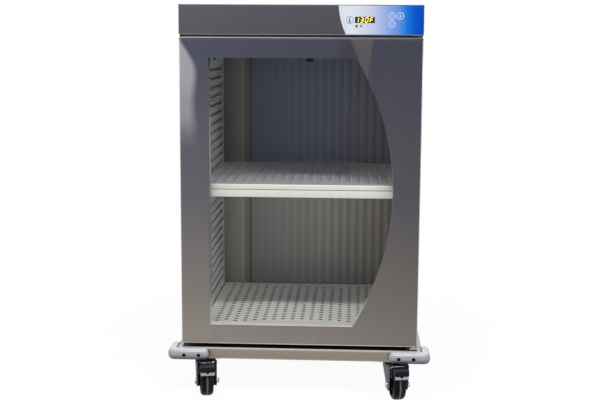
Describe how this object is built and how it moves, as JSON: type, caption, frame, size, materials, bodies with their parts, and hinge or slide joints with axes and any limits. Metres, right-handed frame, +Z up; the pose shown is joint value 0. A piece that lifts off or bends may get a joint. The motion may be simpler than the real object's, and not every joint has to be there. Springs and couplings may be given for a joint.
{
  "type": "blanket warming cabinet",
  "caption": "Upright heated cabinet with a glazed hinged door, inner shelf and floor pan, control fascia, corner bumpers and braked swivel casters.",
  "frame": {"origin": "on the floor, under the middle of the cabinet", "axes": "+Z up, -Y towards the door, +X to the viewer's right when facing the door"},
  "size_m": [0.6764, 0.7702, 1.0055],
  "materials": {
    "casing": "brushed stainless sheet",
    "liner": "brushed stainless sheet",
    "base": "satin stainless sheet",
    "hardware": "zinc plated",
    "bumper": "semi-gloss grey vinyl",
    "wheel": "black rubber",
    "pedal": "black, moulded",
    "glass": "clear, polished",
    "spacer": "mill finish",
    "gasket": "dark grey, matt",
    "insulation": "mineral wool",
    "foam": "fibre insulation",
    "overlay": "printed film, pale to deep blue",
    "key": "printed film",
    "display": "black window",
    "board": "green laminate",
    "rotor": "mill finish",
    "motor": "black enamel",
    "inlet": "black, moulded"
  },
  "bodies": {
    "cabinet": {"base_tray": "base", "caster_rails": "base", "caster_plates": "hardware", "front_left_bumper": "bumper", "front_right_bumper": "bumper", "rear_left_bumper": "bumper", "rear_right_bumper": "bumper", "left_side_panel": "casing", "right_side_panel": "casing", "top_cover": "casing", "shell_floor": "casing", "rear_cover": "casing", "power_inlet": "inlet", "front_frame": "casing", "chamber_left_wall": "liner", "chamber_right_wall": "liner", "chamber_ceiling": "liner", "chamber_floor": "liner", "chamber_back_wall": "liner", "left_rack": "liner", "right_rack": "liner", "floor_pan": "liner", "shelf_deck": "liner", "shelf_frame": "liner", "insulation_batts": "insulation", "blower_housing": "liner", "blower_motor": "motor", "heater_element": "liner", "temperature_probe": "liner", "lower_hinge": "hardware", "upper_hinge": "hardware", "control_fascia": "casing", "control_overlay": "overlay", "display_module": "display", "control_board": "board"},
    "door": {"door_skin": "casing", "door_inner_pan": "liner", "door_outer_glass": "glass", "door_inner_glass": "glass", "glazing_spacer": "spacer", "door_hinge_blocks": "hardware", "door_foam": "foam", "door_gasket": "gasket"},
    "key_up": {"key_up": "key"},
    "key_set": {"key_set": "key"},
    "key_down": {"key_down": "key"},
    "blower_rotor": {"blower_wheel": "rotor"},
    "front_left_fork": {"front_left_fork": "hardware"},
    "front_left_wheel": {"front_left_wheel": "wheel"},
    "front_left_pedal": {"front_left_pedal": "pedal"},
    "front_right_fork": {"front_right_fork": "hardware"},
    "front_right_wheel": {"front_right_wheel": "wheel"},
    "front_right_pedal": {"front_right_pedal": "pedal"},
    "rear_left_fork": {"rear_left_fork": "hardware"},
    "rear_left_wheel": {"rear_left_wheel": "wheel"},
    "rear_left_pedal": {"rear_left_pedal": "pedal"},
    "rear_right_fork": {"rear_right_fork": "hardware"},
    "rear_right_wheel": {"rear_right_wheel": "wheel"},
    "rear_right_pedal": {"rear_right_pedal": "pedal"}
  },
  "joints": [
    {"name": "door_hinge", "type": "hinge", "parent": "cabinet", "child": "door", "pos_m": [0.293, -0.316, 0.5], "axis": [0, 0, 1], "range_deg": [0, 120]},
    {"name": "key_up_press", "type": "slide", "parent": "cabinet", "child": "key_up", "axis": [0, 1, 0], "range_m": [0, 0.0005], "stiffness_N_per_m": 2000},
    {"name": "key_set_press", "type": "slide", "parent": "cabinet", "child": "key_set", "axis": [0, 1, 0], "range_m": [0, 0.0005], "stiffness_N_per_m": 2000},
    {"name": "key_down_press", "type": "slide", "parent": "cabinet", "child": "key_down", "axis": [0, 1, 0], "range_m": [0, 0.0005], "stiffness_N_per_m": 2000},
    {"name": "blower_spin", "type": "hinge", "parent": "cabinet", "child": "blower_rotor", "pos_m": [0, 0.28, 0.5175], "axis": [0, 1, 0], "continuous": true},
    {"name": "front_left_swivel", "type": "hinge", "parent": "cabinet", "child": "front_left_fork", "pos_m": [-0.248, -0.299, 0.088], "axis": [0, 0, 1], "continuous": true},
    {"name": "front_left_roll", "type": "hinge", "parent": "front_left_fork", "child": "front_left_wheel", "pos_m": [-0.24052, -0.33421, 0.038], "axis": [0.9781, 0.2079, 0], "continuous": true},
    {"name": "front_left_brake", "type": "hinge", "parent": "front_left_fork", "child": "front_left_pedal", "pos_m": [-0.23927, -0.34008, 0.09], "axis": [0.9781, 0.2079, 0], "range_deg": [0, 11]},
    {"name": "front_right_swivel", "type": "hinge", "parent": "cabinet", "child": "front_right_fork", "pos_m": [0.248, -0.299, 0.088], "axis": [0, 0, 1], "continuous": true},
    {"name": "front_right_roll", "type": "hinge", "parent": "front_right_fork", "child": "front_right_wheel", "pos_m": [0.25548, -0.33421, 0.038], "axis": [0.9781, 0.2079, 0], "continuous": true},
    {"name": "front_right_brake", "type": "hinge", "parent": "front_right_fork", "child": "front_right_pedal", "pos_m": [0.25673, -0.34008, 0.09], "axis": [0.9781, 0.2079, 0], "range_deg": [0, 11]},
    {"name": "rear_left_swivel", "type": "hinge", "parent": "cabinet", "child": "rear_left_fork", "pos_m": [-0.248, 0.299, 0.088], "axis": [0, 0, 1], "continuous": true},
    {"name": "rear_left_roll", "type": "hinge", "parent": "rear_left_fork", "child": "rear_left_wheel", "pos_m": [-0.25548, 0.33421, 0.038], "axis": [-0.9781, -0.2079, 0], "continuous": true},
    {"name": "rear_left_brake", "type": "hinge", "parent": "rear_left_fork", "child": "rear_left_pedal", "pos_m": [-0.25673, 0.34008, 0.09], "axis": [-0.9781, -0.2079, 0], "range_deg": [0, 11]},
    {"name": "rear_right_swivel", "type": "hinge", "parent": "cabinet", "child": "rear_right_fork", "pos_m": [0.248, 0.299, 0.088], "axis": [0, 0, 1], "continuous": true},
    {"name": "rear_right_roll", "type": "hinge", "parent": "rear_right_fork", "child": "rear_right_wheel", "pos_m": [0.24052, 0.33421, 0.038], "axis": [-0.9781, -0.2079, 0], "continuous": true},
    {"name": "rear_right_brake", "type": "hinge", "parent": "rear_right_fork", "child": "rear_right_pedal", "pos_m": [0.23927, 0.34008, 0.09], "axis": [-0.9781, -0.2079, 0], "range_deg": [0, 11]}
  ]
}
